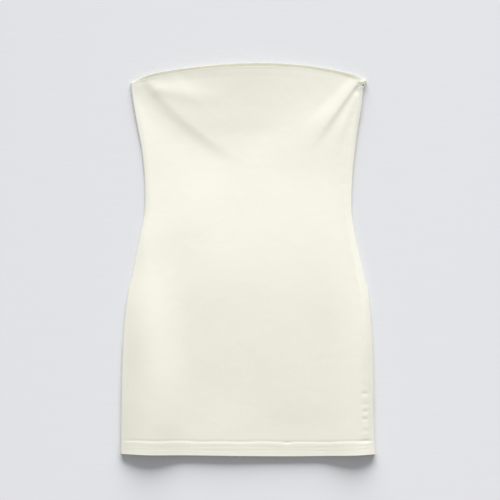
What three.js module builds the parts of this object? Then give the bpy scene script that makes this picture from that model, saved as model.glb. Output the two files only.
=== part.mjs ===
// Strapless satin mini dress, laid flat on a surface: a front and a back panel, sewn into a tube,
// with a turned-in top edge, a turned hem, and a side opening closed by a concealed zip and a hook.
// Millimetres. +X to the right of the laid-out dress, +Y to the top edge, +Z up from the surface.
// The origin is on the surface, at the middle of the dress's length and width.
import * as THREE from "three";

// The cloth
const wall = 1.2; // thickness of one layer
const seamGap = 0.3; // between the edges of two panels
const turnGap = 0.4; // between a panel and its own turned-in edge
const turnRadius = wall + turnGap / 2; // outer radius of a turned edge
const turnSteps = 3; // facets round a turned edge
const leastHeight = 3.6; // the front panel never lies lower than this

// The cut, as it lies
const hemDepth = 25; // height of the turned hem
const hemRidge = 0.6; // the hem's two layers stand this much proud of the panel
const neckCorner = 318; // y of both ends of the top edge
const hemCorner = -349.5; // y of both ends of the hem
const edgeBand = 18; // strip at each side fold where the points lie closer
const foldWidth = 4.6; // how far in from its edge a side fold is rounded
const backRise = 5.4; // the back's top edge lies this much above the front's
const backLift = 0.8; // and it curls up off the surface by this much
const backLiftDepth = 16; // over this much of its length
const leftSeamInset = 16; // the left seam lies on the underside, this far in from the fold
const crownSpread = 70; // how far a side crown takes to fall to the middle's height

// The side opening stands open a little below its hook
const slitWidth = 3.4;
const slitMiddle = 311; // its y
const slitHalfLength = 8;

// One row for each cross section, from the hem up to the top edge: where its side folds lie, and how
// far in from the right fold the side seam runs
const outline = [
  { y: -352, left: -228.8, right: 228.8, seamInset: 16 },
  { y: -325, left: -228.8, right: 227, seamInset: 16 },
  { y: -289, left: -228.4, right: 226.1, seamInset: 16 },
  { y: -217, left: -227.5, right: 225.7, seamInset: 16 },
  { y: -145, left: -224.8, right: 223.4, seamInset: 16 },
  { y: -73, left: -217.1, right: 216.2, seamInset: 15.5 },
  { y: -19, left: -205.9, right: 206.3, seamInset: 15 },
  { y: 35, left: -196, right: 193.7, seamInset: 14.5 },
  { y: 85, left: -186.4, right: 185.8, seamInset: 14 },
  { y: 143, left: -186.1, right: 186.5, seamInset: 14 },
  { y: 197, left: -191.5, right: 191.3, seamInset: 13.5 },
  { y: 233, left: -197.8, right: 196.4, seamInset: 12 },
  { y: 269, left: -204.1, right: 202.6, seamInset: 11 },
  { y: 300, left: -209, right: 206.8, seamInset: 9.5 },
  { y: 318, left: -211, right: 213, seamInset: 7.5 },
];

// The height of the front panel at its left fold, at the crown beside it and in the middle, and how
// far in the crown lies
const leftHeights = [
  { y: -352, leftEdge: 9.4, leftCrown: 13.6, leftIn: 50, middle: 7.8 },
  { y: -325, leftEdge: 9, leftCrown: 12.4, leftIn: 50, middle: 7 },
  { y: -289, leftEdge: 8.2, leftCrown: 10.8, leftIn: 50, middle: 5.8 },
  { y: -217, leftEdge: 7.2, leftCrown: 9, leftIn: 48, middle: 4.9 },
  { y: -145, leftEdge: 6.6, leftCrown: 7.6, leftIn: 42, middle: 4.6 },
  { y: -73, leftEdge: 6.2, leftCrown: 6.6, leftIn: 34, middle: 4.6 },
  { y: -19, leftEdge: 6, leftCrown: 6.2, leftIn: 26, middle: 4.7 },
  { y: 35, leftEdge: 5.9, leftCrown: 6, leftIn: 20, middle: 4.8 },
  { y: 85, leftEdge: 5.8, leftCrown: 5.9, leftIn: 18, middle: 5 },
  { y: 143, leftEdge: 5.8, leftCrown: 6, leftIn: 18, middle: 5.4 },
  { y: 197, leftEdge: 6, leftCrown: 6.4, leftIn: 18, middle: 6.4 },
  { y: 233, leftEdge: 6.4, leftCrown: 7, leftIn: 18, middle: 7.8 },
  { y: 269, leftEdge: 7, leftCrown: 7.8, leftIn: 18, middle: 9.4 },
  { y: 300, leftEdge: 7.8, leftCrown: 8.6, leftIn: 18, middle: 11.1 },
  { y: 318, leftEdge: 8.6, leftCrown: 9.2, leftIn: 18, middle: 12.3 },
];

// The same at its right fold
const rightHeights = [
  { y: -352, rightEdge: 11.6, rightCrown: 13.8, rightIn: 24 },
  { y: -325, rightEdge: 10.8, rightCrown: 12.6, rightIn: 24 },
  { y: -289, rightEdge: 9.2, rightCrown: 10.4, rightIn: 23 },
  { y: -217, rightEdge: 7.6, rightCrown: 8.2, rightIn: 22 },
  { y: -145, rightEdge: 6.6, rightCrown: 7, rightIn: 20 },
  { y: -73, rightEdge: 6.2, rightCrown: 6.4, rightIn: 18 },
  { y: -19, rightEdge: 6, rightCrown: 6.2, rightIn: 16 },
  { y: 35, rightEdge: 5.9, rightCrown: 6, rightIn: 14 },
  { y: 85, rightEdge: 5.8, rightCrown: 5.9, rightIn: 12 },
  { y: 143, rightEdge: 5.8, rightCrown: 6, rightIn: 12 },
  { y: 197, rightEdge: 6.2, rightCrown: 6.4, rightIn: 12 },
  { y: 233, rightEdge: 6.8, rightCrown: 7.2, rightIn: 12 },
  { y: 269, rightEdge: 8, rightCrown: 8.4, rightIn: 12 },
  { y: 300, rightEdge: 10, rightCrown: 10.4, rightIn: 12 },
  { y: 318, rightEdge: 11, rightCrown: 11.4, rightIn: 12 },
];

// The two long edges, read at a share of the width from the left fold to the right one
const topEdge = [
  { share: 0, y: 318 },
  { share: 0.06, y: 326.5 },
  { share: 0.21, y: 337.5 },
  { share: 0.42, y: 347.2 },
  { share: 0.58, y: 349 },
  { share: 0.72, y: 345 },
  { share: 0.88, y: 334.5 },
  { share: 0.955, y: 326.5 },
  { share: 1, y: 318 },
];
const hemEdge = [
  { share: 0, y: -349.5 },
  { share: 0.06, y: -351.8 },
  { share: 0.5, y: -353.4 },
  { share: 0.65, y: -353.8 },
  { share: 0.9, y: -351.8 },
  { share: 1, y: -349.5 },
];

// The front's folds: each runs from one place by way of another to a third, widens on its way,
// and stands above the panel, or lies below it where its height is negative.
const folds = [
  { name: "left crest", from: [-204, 320], via: [-140, 300], to: [-58, 214], widths: [7, 30], height: 2.8 },
  { name: "left trough", from: [-206, 312], via: [-164, 262], to: [-34, 166], widths: [7, 30], height: -3.4 },
  { name: "right crest", from: [200, 316], via: [166, 266], to: [112, 192], widths: [7, 30], height: 2.6 },
  { name: "right trough", from: [200, 308], via: [178, 250], to: [130, 172], widths: [5, 19], height: -3 },
  { name: "right swell", from: [196, 296], via: [182, 236], to: [148, 176], widths: [5, 13], height: 1.6 },
  { name: "top left dip", from: [-186, 322], via: [-120, 328], to: [-10, 330], widths: [5, 12], height: -1.2 },
  { name: "hem swell", from: [-40, -356], via: [-46, -320], to: [-60, -210], widths: [62, 80], height: 1 },
  { name: "hem dip", from: [98, -356], via: [98, -330], to: [104, -250], widths: [34, 60], height: -0.9 },
];
const foldSamples = 14;
const foldEdgeFade = 14; // a fold dies out this close to a side fold

// The rows of points, from the hem's fold to the top edge's, as y at the side folds
const hemTop = hemCorner + hemDepth;
const rowBands = [
  { from: hemCorner + turnRadius, to: hemTop - 1, rows: 2 },
  { from: hemTop - 1, to: hemTop + 1.5, rows: 1 },
  { from: hemTop + 1.5, to: 120, rows: 11 },
  { from: 120, to: 304.6, rows: 12 },
  { from: 304.6, to: neckCorner - turnRadius, rows: 3 },
];
const hemTurnRows = 2;
const neckTurnRows = 3;

// The columns of points
const foldColumns = 5; // in each edge band
const frontColumns = 20; // across the front panel
const backColumns = 9; // across the back panel

// The concealed zip, closed, under the side seam
const zipBottom = -90;
const zipTop = 300;
const zipTape = 0.8; // thickness of its tape
const zipCoil = 1.9; // thickness of its closed coil
const zipClearance = 0.5; // between the zip and the panels over it
const zipShare = 0.36; // the tape reaches under this share of the front's last column
const sliderWidth = 4.4;
const sliderLength = 8;
const sliderHeight = 1.6;
const sliderCorner = 0.9;
const sliderDrop = 0.4; // the slider lies this much lower than the tape

// The hook and the eye, bent from wire
const wire = 0.6;
const wireSides = 6;
const wireClearance = 0.35; // between the hook's bill and the eye's arch
const loopRadius = 0.9; // of the loops that are sewn down
const loopSteps = 6;
const shankHalf = 0.55; // the hook's two wires lie this far from its middle
const closureTurn = 0.15; // the hook points this much towards the top edge, in radians
const hookTilt = -0.12; // the hook follows the front panel down
const eyeTilt = 0.3; // the eye follows the back panel round its fold
const closureDepth = 4; // from the panel's outer face down to the hook's wires
const eyeDrop = 0.82; // the eye lies this much lower

const cloth = { color: 0xe9e8dc, roughness: 0.42, metalness: 0 };
const tape = { color: 0xe4e3d6, roughness: 0.6, metalness: 0 };
const steel = { color: 0x6f6f68, roughness: 0.35, metalness: 0.9 };

const mix = THREE.MathUtils.lerp;

// Eases from 0 to 1.
function ease(t) {
  return THREE.MathUtils.smoothstep(t, 0, 1);
}

// Reads a column of a table at a place between its rows, on a smooth curve through them.
function read(table, key, at, column) {
  const last = table.length - 1;
  const place = THREE.MathUtils.clamp(at, table[0][key], table[last][key]);
  const i = Math.max(0, table.findIndex((row) => row[key] >= place) - 1);
  const slope = (k) => {
    const a = table[Math.max(0, k - 1)];
    const b = table[Math.min(last, k + 1)];
    return (b[column] - a[column]) / (b[key] - a[key]);
  };
  const [a, b] = [table[i], table[i + 1]];
  const span = b[key] - a[key];
  const t = (place - a[key]) / span;
  const bend = t * (1 - t);
  const straight = mix(a[column], b[column], t);
  const rise = b[column] - a[column];
  return straight + bend * ((1 - t) * (slope(i) * span - rise) - t * (slope(i + 1) * span - rise));
}

// Everything that a cross section needs, at y of its side folds.
function sectionAt(y) {
  const section = { y, share: (y - hemCorner) / (neckCorner - hemCorner) };
  for (const table of [outline, leftHeights, rightHeights]) {
    for (const column of Object.keys(table[0])) {
      if (column !== "y") section[column] = read(table, "y", y, column);
    }
  }
  return section;
}

// y of a point of a section. The section bows with the hem near the hem and with the top edge near
// the top edge, and the back's top edge rises above the front's.
function bowedY(section, x, onBack) {
  const share = (x - section.left) / (section.right - section.left);
  const awayFromFolds = 1 - Math.abs(2 * share - 1) ** 8;
  const hemBow = read(hemEdge, "share", share, "y") - hemCorner;
  const rise = onBack ? backRise * awayFromFolds : 0;
  const neckBow = read(topEdge, "share", share, "y") + rise - neckCorner;
  return section.y + mix(hemBow, neckBow, section.share);
}

// How a side fold is rounded: 0 at its edge, 1 where the layer lies level.
function rounded(distance) {
  const t = Math.min(1, distance / foldWidth);
  return Math.sqrt(1 - (1 - t) ** 2);
}

// The height from a side fold over its crown to the middle.
function crownHeight(distance, edge, crown, crownIn, middle) {
  if (distance < crownIn) return mix(edge, crown, Math.sin((distance / crownIn) * (Math.PI / 2)));
  return mix(crown, middle, ease((distance - crownIn) / crownSpread));
}

// Each fold's line as points, with the fold's width and strength at each.
const foldLines = folds.map((fold) => {
  const curve = new THREE.QuadraticBezierCurve(
    new THREE.Vector2(...fold.from),
    new THREE.Vector2(...fold.via),
    new THREE.Vector2(...fold.to),
  );
  return curve.getPoints(foldSamples).map((point, i) => {
    const t = i / foldSamples;
    const width = mix(...fold.widths, t);
    return { point, width, height: fold.height * (1 - ease((t - 0.45) / 0.55)) };
  });
});

// How much the folds raise or lower the front at a place. Each counts at its nearest point.
function foldHeight(x, y) {
  let sum = 0;
  for (const line of foldLines) {
    let strongest = 0;
    for (const { point, width, height } of line) {
      const reach = Math.exp(-((point.x - x) ** 2 + (point.y - y) ** 2) / (width * width));
      if (Math.abs(reach * height) > Math.abs(strongest)) strongest = reach * height;
    }
    sum += strongest;
  }
  return sum;
}

// A point of the outer face of the layer that shows.
function upperPoint(section, x) {
  const y = bowedY(section, x, false);
  const fromLeft = x - section.left;
  const fromRight = section.right - x;
  const { leftEdge, leftCrown, leftIn, middle, rightCrown, rightIn, rightEdge } = section;
  const nearLeft = crownHeight(fromLeft, leftEdge, leftCrown, leftIn, middle);
  const nearRight = crownHeight(fromRight, rightEdge, rightCrown, rightIn, middle);
  const inField = ease(Math.min(fromLeft, fromRight) / foldEdgeFade);
  const hem = section.y < hemTop ? hemRidge * inField : 0;
  const free = nearLeft + nearRight - middle + foldHeight(x, y) * inField + hem;
  const height = Math.max(leastHeight, free);
  const edge = fromLeft < fromRight ? leftEdge : rightEdge;
  const round = rounded(Math.min(fromLeft, fromRight));
  return new THREE.Vector3(x, y, mix(edge / 2, height, round));
}

// A point of the outer face of the layer that lies on the surface.
function lowerPoint(section, x) {
  const y = bowedY(section, x, true);
  const fromLeft = x - section.left;
  const fromRight = section.right - x;
  const edge = fromLeft < fromRight ? section.leftEdge : section.rightEdge;
  const round = rounded(Math.min(fromLeft, fromRight));
  const curl = ease((section.y - neckCorner + backLiftDepth) / backLiftDepth);
  return new THREE.Vector3(x, y, mix(edge / 2, backLift * curl, round));
}

// How far the back's seam edge stands back from the front's.
function seamOpening(y) {
  return seamGap + slitWidth * ease(1.4 * (1 - Math.abs(y - slitMiddle) / slitHalfLength));
}

// The columns that lead over a side fold, closer together towards its edge.
function foldShares() {
  return Array.from({ length: foldColumns }, (_, i) => (i / foldColumns) ** 2);
}

// The front panel: from the left seam, on the underside, round the left fold and over the top to
// the right seam.
function frontSection(section) {
  const { left, right, seamInset } = section;
  const seam = right - seamInset;
  const inwards = [1, ...foldShares().reverse()];
  const under = inwards.map((share) => lowerPoint(section, left + leftSeamInset * share));
  const over = foldShares().slice(1).map((share) => upperPoint(section, left + edgeBand * share));
  const field = [];
  for (let i = 0; i <= frontColumns; i++) {
    field.push(upperPoint(section, mix(left + edgeBand, seam, i / frontColumns)));
  }
  return [...under, ...over, ...field];
}

// The back panel: from the right seam, on the upper side, round the right fold and along the
// surface to the left seam.
function backSection(section) {
  const { left, right, seamInset, y } = section;
  const reach = seamInset - seamOpening(y);
  const over = [1, ...foldShares().reverse()].map((share) => upperPoint(section, right - reach * share));
  const under = foldShares().slice(1).map((share) => lowerPoint(section, right - edgeBand * share));
  const field = [];
  for (let i = 0; i <= backColumns; i++) {
    const x = mix(right - edgeBand, left + leftSeamInset + seamGap, i / backColumns);
    field.push(lowerPoint(section, x));
  }
  return [...over, ...under, ...field];
}

// The way out of the cloth at each point of a grid.
function normalsOf(grid) {
  const rows = grid.length - 1;
  return grid.map((row, r) =>
    row.map((_, c) => {
      const upwards = grid[Math.min(rows, r + 1)][c].clone().sub(grid[Math.max(0, r - 1)][c]);
      const across = row[Math.min(row.length - 1, c + 1)].clone().sub(row[Math.max(0, c - 1)]);
      return across.cross(upwards).normalize();
    }),
  );
}

// Points moved in from a row, along its normals.
function movedIn(row, normals, depth) {
  return row.map((point, c) => point.clone().addScaledVector(normals[c], -depth));
}

// The rows of a turned edge: round the fold and back along the inside of the panel. The band holds
// the panel's rows that the turned cloth lies along, from the fold inwards.
function turnedRows(band, bandNormals) {
  const rows = [];
  const [row, normals] = [band[0], bandNormals[0]];
  for (let step = 1; step <= turnSteps; step++) {
    const angle = (Math.PI * step) / (turnSteps + 1);
    const arc = (radius) =>
      row.map((point, c) => {
        const ahead = point.clone().sub(band[1][c]).normalize();
        return point
          .clone()
          .addScaledVector(normals[c], radius * Math.cos(angle) - turnRadius)
          .addScaledVector(ahead, radius * Math.sin(angle));
      });
    rows.push({ outer: arc(turnRadius), inner: arc(turnGap / 2) });
  }
  band.forEach((points, i) => {
    rows.push({
      outer: movedIn(points, bandNormals[i], 2 * wall + turnGap),
      inner: movedIn(points, bandNormals[i], wall + turnGap),
    });
  });
  return rows;
}

// Both panels lean the same way where they meet at a seam, so that their gap stays even.
function alignSeams(frontNormals, backNormals) {
  frontNormals.forEach((frontRow, r) => {
    const backRow = backNormals[r];
    for (const [a, b] of [[frontRow.at(-1), backRow[0]], [frontRow[0], backRow.at(-1)]]) {
      a.add(b).normalize();
      b.copy(a);
    }
  });
}

// A panel from its outer points: its wall, with its hem and its top edge turned in.
function panelGeometry(grid, normals) {
  const body = grid.map((row, r) => ({ outer: row, inner: movedIn(row, normals[r], wall) }));
  const hem = turnedRows(grid.slice(0, hemTurnRows + 1), normals.slice(0, hemTurnRows + 1));
  const fromTop = (rows) => rows.slice(-(neckTurnRows + 1)).reverse();
  const neck = turnedRows(fromTop(grid), fromTop(normals));
  return closedWall([...hem.reverse(), ...body, ...neck]);
}

// One closed solid from rows of outer and inner points.
function closedWall(rows) {
  const columns = rows[0].outer.length;
  const positions = [];
  for (const side of ["outer", "inner"]) {
    for (const row of rows) for (const point of row[side]) positions.push(point.x, point.y, point.z);
  }
  const outer = (r, c) => r * columns + c;
  const inner = (r, c) => (rows.length + r) * columns + c;
  const triangles = [];
  const quad = (a, b, c, d) => triangles.push(a, b, c, a, c, d);
  const lastRow = rows.length - 1;
  const lastColumn = columns - 1;
  for (let r = 0; r < lastRow; r++) {
    for (let c = 0; c < lastColumn; c++) {
      quad(outer(r, c), outer(r, c + 1), outer(r + 1, c + 1), outer(r + 1, c));
      quad(inner(r, c), inner(r + 1, c), inner(r + 1, c + 1), inner(r, c + 1));
    }
    quad(outer(r, 0), outer(r + 1, 0), inner(r + 1, 0), inner(r, 0));
    quad(outer(r, lastColumn), inner(r, lastColumn), inner(r + 1, lastColumn), outer(r + 1, lastColumn));
  }
  for (let c = 0; c < lastColumn; c++) {
    quad(outer(0, c), inner(0, c), inner(0, c + 1), outer(0, c + 1));
    quad(outer(lastRow, c), outer(lastRow, c + 1), inner(lastRow, c + 1), inner(lastRow, c));
  }
  const geometry = new THREE.BufferGeometry();
  geometry.setAttribute("position", new THREE.Float32BufferAttribute(positions, 3));
  geometry.setIndex(triangles);
  geometry.computeVertexNormals();
  return geometry;
}

// The zip follows the panels' own points and leans beside the side seam, so it keeps clear of their
// folds. Its tape lies level on both sides of the coil, which hangs below the seam.
function zipGeometry(zipRows) {
  const columns = [
    { side: "front", share: zipShare, depth: zipTape },
    { side: "front", share: 0.1, depth: zipCoil },
    { side: "back", share: 0.3, depth: zipCoil },
    { side: "back", share: 1, depth: zipTape },
  ];
  const across = (r, { side, share }, row) => {
    const [seam, beside] = side === "front" ? [-1, -2] : [0, 1];
    return row[side][r].at(seam).clone().lerp(row[side][r].at(beside), share);
  };
  const points = { front, back };
  const normals = { front: frontNormals, back: backNormals };
  const down = (r, column, depth) => {
    return across(r, column, points).addScaledVector(across(r, column, normals), -depth);
  };
  return closedWall(
    zipRows.map((r) => ({
      outer: columns.map((column) => down(r, column, wall + zipClearance)),
      inner: columns.map((column) => down(r, column, wall + zipClearance + column.depth)),
    })),
  );
}

// The zip's slider, seen along its height.
function sliderGeometry() {
  const half = sliderWidth / 2;
  const shape = new THREE.Shape();
  shape.moveTo(-half * 0.55, 0);
  shape.lineTo(half * 0.55, 0);
  shape.lineTo(half, sliderLength * 0.55);
  shape.quadraticCurveTo(half, sliderLength, half - sliderCorner, sliderLength);
  shape.lineTo(sliderCorner - half, sliderLength);
  shape.quadraticCurveTo(-half, sliderLength, -half, sliderLength * 0.55);
  return new THREE.ExtrudeGeometry(shape, { depth: sliderHeight, bevelEnabled: false, curveSegments: 4 });
}

// A round wire along a smooth curve through points.
function wireGeometry(points, steps) {
  const knots = points.map((point) => new THREE.Vector3(...point));
  const path = new THREE.CatmullRomCurve3(knots, false, "centripetal");
  const section = new THREE.Shape();
  for (let i = 0; i < wireSides; i++) {
    const angle = (2 * Math.PI * i) / wireSides;
    const at = [(wire / 2) * Math.cos(angle), (wire / 2) * Math.sin(angle)];
    if (i) section.lineTo(...at);
    else section.moveTo(...at);
  }
  return new THREE.ExtrudeGeometry(section, { steps, extrudePath: path, bevelEnabled: false });
}

// Points round a sewing loop, from one angle to another.
function loopPoints(x, y, from, to) {
  return Array.from({ length: loopSteps + 1 }, (_, i) => {
    const angle = mix(from, to, i / loopSteps);
    return [x + loopRadius * Math.cos(angle), y + loopRadius * Math.sin(angle), 0];
  });
}

// The points of the lower half turned into those of the upper half, in the opposite order.
function mirrored(points) {
  return points.map(([x, y, z]) => [x, -y, z]).reverse();
}

// The hook lies along x: two sewing loops, a shank of two wires, and a bill that turns back below.
function hookGeometry() {
  const billDepth = 2 * (wire + wireClearance);
  const half = [
    ...loopPoints(-3.6, -1.8, -0.3 * Math.PI, -1.75 * Math.PI),
    [-1.8, -shankHalf, 0],
    [1.4, -shankHalf, 0],
    [2.1, -shankHalf, -0.5 * billDepth],
    [1.2, -shankHalf, -billDepth],
  ];
  return wireGeometry([...half, [-0.2, 0, -billDepth], ...mirrored(half)], 56);
}

// The eye: two sewing loops and the arch that the hook's bill holds.
function eyeGeometry() {
  const half = [...loopPoints(2.4, -2.2, 1.3 * Math.PI, 2.75 * Math.PI), [1.3, -1.4, 0]];
  return wireGeometry([...half, [0.7, 0, 0], ...mirrored(half)], 44);
}

// A mesh with its name and material.
function piece(name, geometry, look) {
  const mesh = new THREE.Mesh(geometry, new THREE.MeshStandardMaterial(look));
  mesh.name = name;
  return mesh;
}

const rows = rowBands.flatMap(({ from, to, rows: count }, band) => {
  const ends = band === rowBands.length - 1 ? 1 : 0;
  return Array.from({ length: count + ends }, (_, i) => sectionAt(mix(from, to, i / count)));
});

const front = rows.map(frontSection);
const back = rows.map(backSection);
const frontNormals = normalsOf(front);
const backNormals = normalsOf(back);
alignSeams(frontNormals, backNormals);

const dress = new THREE.Group();
dress.add(piece("front_panel", panelGeometry(front, frontNormals), cloth));
dress.add(piece("back_panel", panelGeometry(back, backNormals), cloth));

const zipRows = [...rows.keys()].filter((r) => rows[r].y > zipBottom && rows[r].y < zipTop);
dress.add(piece("zip", zipGeometry(zipRows), tape));

// The slider ends the zip. It leans as the seam does there.
const zipEnd = front[zipRows.at(-1)].at(-1);
const overZip = front[zipRows.at(-1) + 1].at(-1);
const slider = piece("zip_slider", sliderGeometry(), tape);
slider.position.copy(zipEnd);
slider.position.y += zipClearance;
slider.position.z -= wall + zipClearance + sliderHeight + sliderDrop;
slider.rotation.z = -Math.atan2(overZip.x - zipEnd.x, overZip.y - zipEnd.y);
dress.add(slider);

// The hook and the eye are sewn under the turned-in top edge, where the side opening stands open.
const closure = sectionAt(slitMiddle);
const closureX = closure.right - closure.seamInset + slitWidth / 2;
const closureAt = upperPoint(closure, closureX);
const hook = piece("hook", hookGeometry(), steel);
hook.position.set(closureAt.x, closureAt.y, closureAt.z - closureDepth);
hook.rotation.set(0, hookTilt, closureTurn);
const eye = piece("eye", eyeGeometry(), steel);
eye.position.set(closureAt.x, closureAt.y, closureAt.z - closureDepth - eyeDrop);
eye.rotation.set(0, eyeTilt, closureTurn);
dress.add(hook, eye);

// The dress lies centred on the origin, on the surface.
const box = new THREE.Box3().setFromObject(dress);
const middle = box.getCenter(new THREE.Vector3());
for (const mesh of dress.children) mesh.position.sub(new THREE.Vector3(middle.x, middle.y, box.min.z));

export default dress;
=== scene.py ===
# A strapless satin mini dress, laid flat on a pale floor and seen from straight above.
# Metres. +X to the right of the laid-out dress, +Y to its top edge, +Z up from the floor.
import bpy
import math
import numpy as np
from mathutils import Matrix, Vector


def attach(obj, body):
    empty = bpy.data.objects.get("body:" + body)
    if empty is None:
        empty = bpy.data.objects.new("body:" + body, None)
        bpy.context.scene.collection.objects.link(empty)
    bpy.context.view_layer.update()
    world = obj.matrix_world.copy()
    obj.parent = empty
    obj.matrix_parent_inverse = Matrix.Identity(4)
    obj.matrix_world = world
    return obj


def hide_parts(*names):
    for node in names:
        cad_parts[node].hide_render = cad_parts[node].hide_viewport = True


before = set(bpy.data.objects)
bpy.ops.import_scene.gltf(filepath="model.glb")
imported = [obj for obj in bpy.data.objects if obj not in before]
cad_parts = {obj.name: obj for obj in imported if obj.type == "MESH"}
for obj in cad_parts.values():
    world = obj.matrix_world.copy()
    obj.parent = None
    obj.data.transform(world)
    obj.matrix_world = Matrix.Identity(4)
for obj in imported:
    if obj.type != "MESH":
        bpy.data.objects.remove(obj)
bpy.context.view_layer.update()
mm = 0.001
print("frame loaded:", ", ".join(sorted(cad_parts)))

# The cut, in millimetres
cut = {
    "hemDepth": 25, "hemCorner": -349.5, "neckCorner": 318, "foldWidth": 1.5, "foldsFadeIn": 14,
    "edgeBand": 18, "seamBand": 30, "leftSeamIn": 16, "leastHeight": 2.4, "seamGap": 0.03,
    "slitWidth": 3, "slitMiddle": 309.8, "slitHalf": 2.4, "slitRound": 1.4,
}
centre = np.array((-0.15, 0.3, 0))  # where the solids have their origin in these numbers
cloth = {
    "thick": 0.26, "turnGap": 0.05, "turnSteps": 5, "turnFlat": 0.12, "hemReturn": 23, "neckReturn": 12,
    "narrowRow": 0.12, "sharpFrom": 70,
}

# One row for each cross section, from the hem up
sectionNames = ("y", "left", "right", "seamIn", "leftEdge", "leftCrown", "leftIn", "middle",
                "rightCrown", "rightIn", "rightEdge", "spread")
sectionRows = [
    (-352, -228.8, 228.8, 16, 7.6, 17.4, 50, 9, 16.8, 34, 9.4, 70),
    (-325, -228.8, 227, 16, 6.6, 17, 54, 8.7, 15.4, 34, 8, 70),
    (-289, -228.4, 226.1, 16, 6, 16.8, 58, 8.2, 14.4, 32, 6.8, 70),
    (-217, -227.5, 225.7, 16, 5.4, 15.6, 58, 8, 13, 28, 6, 70),
    (-145, -224.8, 223.4, 16, 4.8, 13.6, 50, 8.2, 11.4, 22, 5.4, 70),
    (-73, -217.8, 217.2, 15.8, 4.2, 10.8, 38, 8.2, 9.4, 18, 4.8, 70),
    (-19, -206.3, 205.6, 15, 3.6, 8.6, 26, 7.6, 7.8, 14, 4.4, 70),
    (35, -196, 193.6, 14.6, 3.2, 6.8, 16, 6.6, 6.6, 12, 4.3, 70),
    (85, -186.4, 186.6, 14.8, 3, 5.2, 12, 5.4, 5.6, 11, 4.2, 90),
    (143, -186.1, 187.8, 15.3, 3, 4.6, 10, 4.2, 5.4, 11, 4.2, 140),
    (197, -191.5, 193.1, 15.3, 3.2, 4.6, 10, 4.4, 6.7, 11, 4.6, 170),
    (233, -198.2, 198, 13.8, 3.6, 5, 12, 6.6, 7.8, 12, 5, 140),
    (269, -204.6, 203.9, 12.7, 4.2, 5.8, 14, 9.6, 8.8, 12, 5.8, 100),
    (300, -209.3, 207, 9.4, 4.8, 7, 16, 12.8, 10, 12, 7.2, 75),
    (309, -210.2, 209.8, 5, 5, 7.5, 16, 13.9, 10.4, 12, 8, 66),
    (318, -211, 212.8, 5, 5.2, 8, 16, 15, 10.8, 12, 8.4, 60),
]

# The top edges and the hem: share of the width from the left fold, y
frontTop = [(0, 317.4), (0.03, 320.5), (0.083, 325.8), (0.18, 334.2), (0.294, 340.8), (0.4, 344.6),
            (0.506, 346), (0.6, 345.8), (0.718, 343.4), (0.8, 338.8), (0.888, 331), (0.94, 323.8),
            (0.975, 319), (1, 322.6)]
backTop = [(0, 317.4), (0.03, 324), (0.083, 333.4), (0.18, 341.4), (0.294, 347.8), (0.4, 352),
           (0.506, 354.2), (0.6, 354), (0.718, 350.7), (0.8, 346.2), (0.888, 338.9), (0.94, 333.2),
           (0.976, 328), (1, 322.6)]
hemEdge = [(0, -348.6), (0.06, -349.4), (0.13, -350.3), (0.31, -351.3), (0.5, -352.4), (0.7, -352.8),
           (0.9, -351), (1, -349)]

# Where the bust rises from the body: foot line, which side of it rises, widths of the rise and of
# the slow fall behind it at both ends, height at both ends, where it starts to fade
frontWalls = {
    "leftWall": ((-216, 326), (-152, 226), (-14, 147), 1, (28, 31), (34, 110), (1.75, 1.35), 0.68),
    "rightWall": ((202, 312), (160, 246), (122, 178), -1, (8, 22), (20, 46), (1.2, 1.6), 0.4),
}

# Soft ridges and troughs: start, way, end, widths at both ends, height, where it starts to fade
frontFolds = {
    "topLeftGroove": ((-192, 320), (-130, 326), (0, 334), (6, 14), -0.3, 0.3),
    "leftHollow": ((-200, 290), (-150, 218), (-40, 150), (16, 44), -0.7, 0.5),
    "leftRidge": ((-162, 306), (-110, 293), (-14, 292), (9, 19), 0.55, 0.6),
    "rightLens": ((194, 292), (178, 250), (146, 180), (6, 13), 0.7, 0.4),
    "rightSeamShade": ((196, 302), (186, 250), (172, 190), (5, 9), -0.5, 0.4),
    "hemSwell": ((-40, -356), (-46, -320), (-60, -210), (62, 80), 1.0, 0.45),
    "hemDash": ((66, -328.6), (71, -328.9), (76, -328.6), (1.7, 1.7), -0.35, 0.9),
    "hemDip": ((98, -356), (98, -330), (104, -250), (34, 60), -0.5, 0.45),
}

# How the middle of the bust leans down to both sides, and from where up; steepening makes a wall
# steepest near its top
bust = {
    "leansAbove": 130, "setsInOver": 60, "levelAt": 5.4, "steepening": 1.6,
    "leanFrom": -10, "leanTo": 130, "leanShare": 0.4, "leftFrom": -50, "leftTo": -160, "leftShare": 0.35,
}

# Short puckers that cross the side seam: y, how far they reach to both sides, width, height
hemPuckers = [
    (-240.3, 5.5, 2.6, -0.6), (-249, 6, 3, 0.1), (-259.6, 7, 2.2, -0.28), (-266, 5, 2.4, 0.1),
    (-272.2, 5, 2.6, -0.5), (-279, 5, 2.4, 0.12), (-286, 5.5, 2.2, -0.5), (-300, 6, 3, 0.28),
    (-313, 6, 3, 0.24), (-325, 10, 3, -0.45),
]
seamPuckers = {
    "seed": 7, "from": -215.0, "to": 300, "spacing": 23, "uneven": (0.6, 1.4),
    "reach": (3, 8), "width": (3, 6), "height": (0.04, 0.16),
}
seamGroove = {"depth": 0.07, "width": 1.1, "shoulder": 0.1, "shoulderWidth": 4}
hemLine = {
    "depth": 0.2, "width": 1.9, "ridge": 0.2, "ridgeWidth": 4, "rim": 0.11, "rimWidth": 3.4,
    "wobble": 0.9, "wobbleWaves": (17, 41), "uneven": (0.6, 0.4), "unevenWaves": (23, 9),
    "crease": 0.13, "creaseWidth": 1.5, "creaseAt": (9.5, 15), "creaseWaves": (31, 40),
}
backCurl = {"depth": 9, "height": 1.85, "bend": 0.8, "fromSides": 30}
frontLip = {"depth": 4, "height": 0.1}
calm = {"seed": 11, "waves": 9, "height": 0.28, "shortest": 90, "longest": 260}


def ease(t):
    t = np.clip(t, 0, 1)
    return t * t * (3 - 2 * t)


def mix(a, b, t):
    return a + (b - a) * t


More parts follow.
